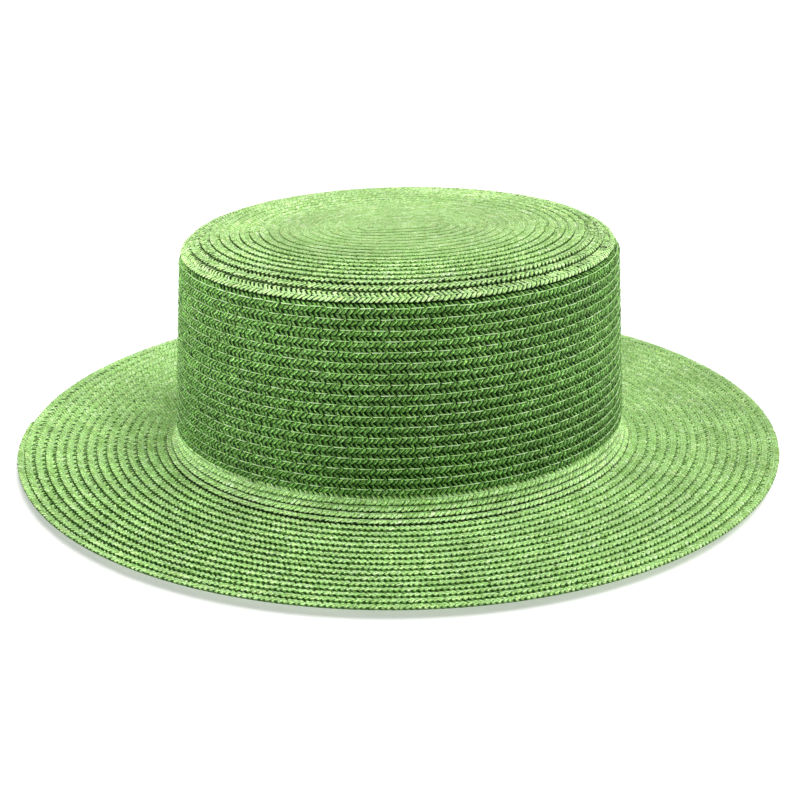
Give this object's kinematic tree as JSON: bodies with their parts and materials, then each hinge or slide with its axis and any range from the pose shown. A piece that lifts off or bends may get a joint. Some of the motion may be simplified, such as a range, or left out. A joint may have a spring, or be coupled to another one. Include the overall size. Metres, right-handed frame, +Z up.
{
  "type": "straw boater hat",
  "caption": "Oval boater hat of sewn straw braid: flat tip with a soft shoulder, nearly upright wall and wide brim that rises a little to the rim.",
  "frame": {"origin": "centre of the hat's footprint, on the plane of the brim's flat underside", "axes": "+X along the long side of the oval, +Y along the short side towards the back of the picture, +Z up from the brim towards the tip"},
  "size_m": [0.3354, 0.3098, 0.0975],
  "materials": {
    "straw_tip": "matte plaited paper straw, pale yellowish green",
    "straw_shoulder": "matte plaited paper straw, pale yellowish green, turned over the edge",
    "straw_wall": "matte plaited paper straw, the same green, shaded",
    "straw_foot": "matte plaited paper straw, pale green, tightly sewn",
    "straw_brim": "matte plaited paper straw, pale yellowish green",
    "straw_rim": "matte plaited paper straw, rope-like edge"
  },
  "bodies": {
    "root": {"crown_tip": "straw_tip", "crown_shoulder": "straw_shoulder", "crown_wall": "straw_wall", "crown_foot": "straw_foot", "brim": "straw_brim", "rim_row": "straw_rim"}
  },
  "joints": []
}
